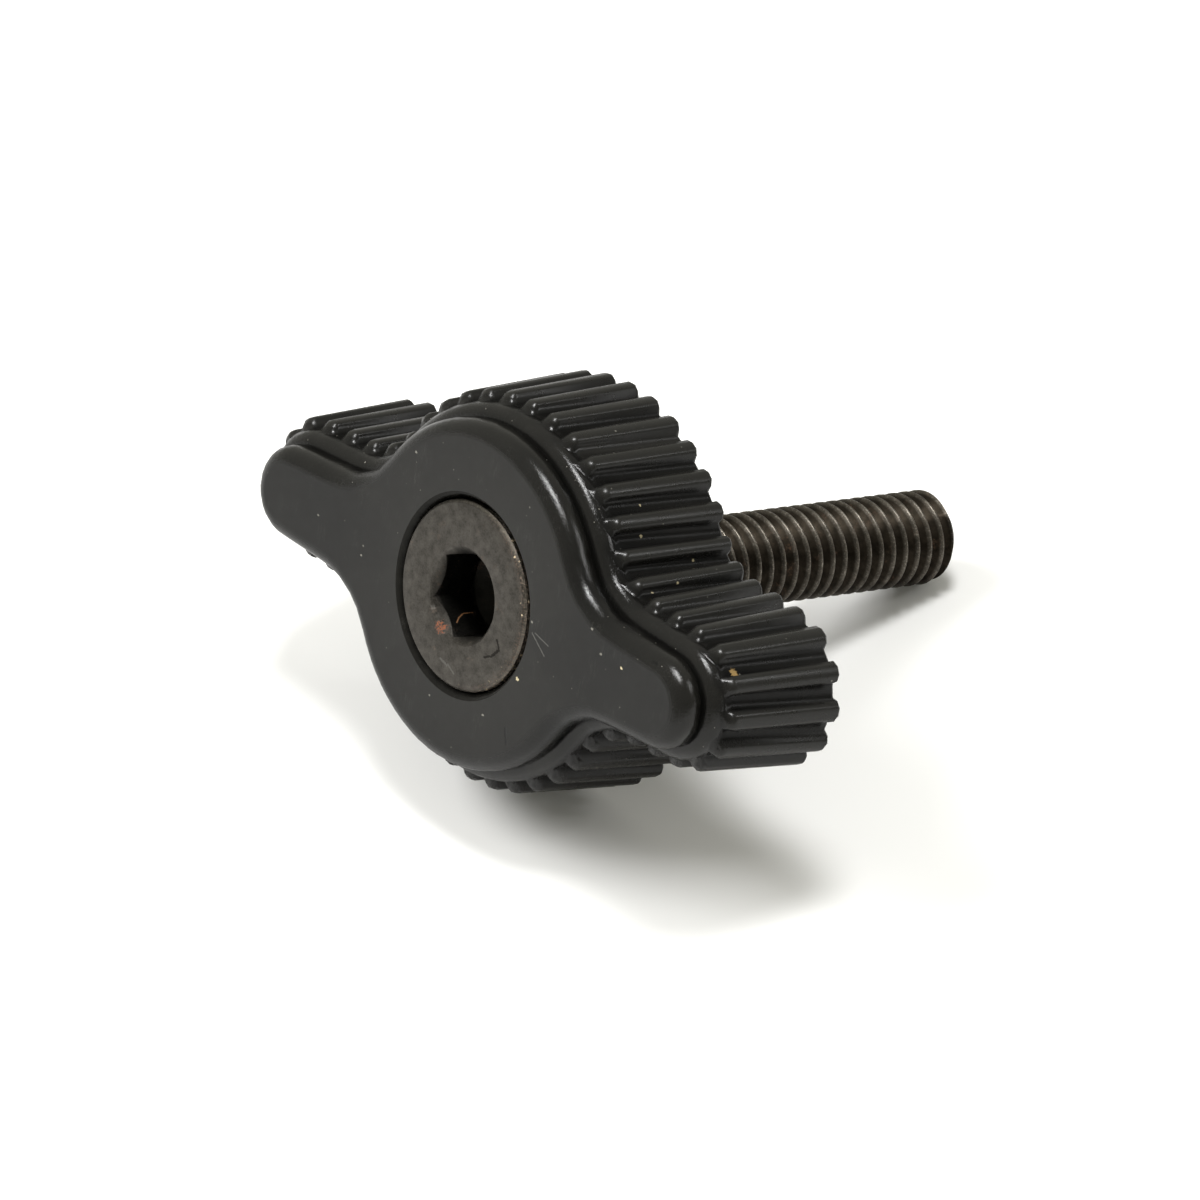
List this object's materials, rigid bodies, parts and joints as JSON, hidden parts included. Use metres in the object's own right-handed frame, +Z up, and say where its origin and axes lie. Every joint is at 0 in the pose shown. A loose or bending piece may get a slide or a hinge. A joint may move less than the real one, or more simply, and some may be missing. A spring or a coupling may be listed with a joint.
{
  "type": "thumb screw",
  "caption": "Black plastic thumb screw: a ribbed winged grip with a front plate, fixed to a hexagon socket head screw that stands out at the back.",
  "frame": {"origin": "middle of the part's base on the table, as it lies at rest", "axes": "+X to the right along the wings seen from the front, +Y from the face towards the screw's tip, +Z up"},
  "size_m": [0.0452, 0.0396, 0.026],
  "materials": {
    "grip_plastic": "black moulded plastic with a soft sheen, finely scratched and dusty",
    "screw_steel": "blackened steel, worn bright on edges and thread crests, with light rust"
  },
  "bodies": {
    "root": {"wing_grip": "grip_plastic", "cap_screw": "screw_steel"}
  },
  "joints": []
}
